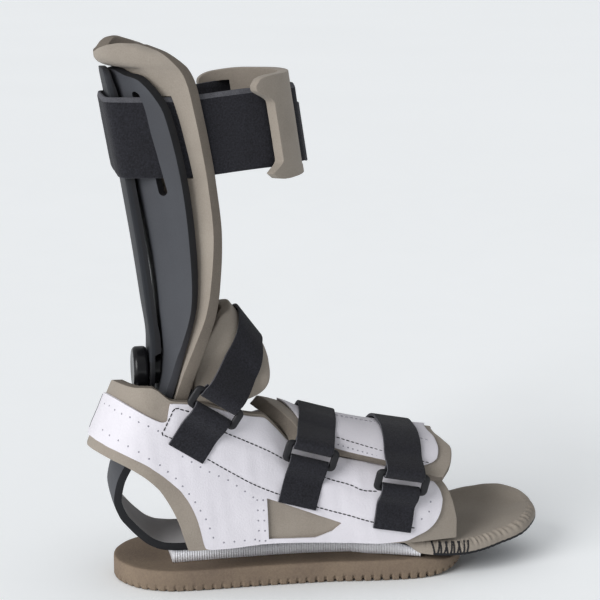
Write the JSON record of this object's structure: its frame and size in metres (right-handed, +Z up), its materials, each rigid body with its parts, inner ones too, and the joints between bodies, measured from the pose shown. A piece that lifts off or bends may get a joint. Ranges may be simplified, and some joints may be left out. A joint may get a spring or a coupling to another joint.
{
  "type": "pressure relief ankle foot orthosis",
  "caption": "Open-heel walking brace for the right foot: plastic frame with a heel loop, foam calf liner, white foot upper, black hook-and-loop straps and a rubber sole.",
  "frame": {"origin": "on the ground under the middle of the assembly's box", "axes": "+Z up along the calf, +X towards the toes, -Y the outer side of the right foot"},
  "size_m": [0.3014, 0.1154, 0.3479],
  "materials": {
    "rubber": "matt, fine grain, toothed lower edge",
    "ribbed": "matt, fine upright ribs",
    "shell": "satin, faint grain",
    "knob": "glossy black",
    "foam": "matt taupe, short nap",
    "vinyl": "soft white, fine grain, stitched",
    "webbing": "matt black loop pile",
    "ring": "satin black"
  },
  "bodies": {
    "root": {"outsole": "rubber", "ribbed_filler": "ribbed", "frame_shell": "shell", "anti_rotation_bar": "shell", "pivot_knob": "knob", "foot_bed": "foam", "calf_liner": "foam", "shin_pad": "foam", "upper_foam": "foam", "vamp_foam": "foam", "instep_pad": "foam", "upper_cover": "vinyl", "vamp_cover": "vinyl", "calf_strap": "webbing", "calf_strap_tab": "webbing", "midfoot_strap": "webbing", "midfoot_tab": "webbing", "forefoot_strap": "webbing", "forefoot_tab": "webbing", "ankle_strap": "webbing", "ankle_tab": "webbing", "midfoot_buckle": "ring", "forefoot_buckle": "ring", "ankle_buckle": "ring"}
  },
  "joints": []
}
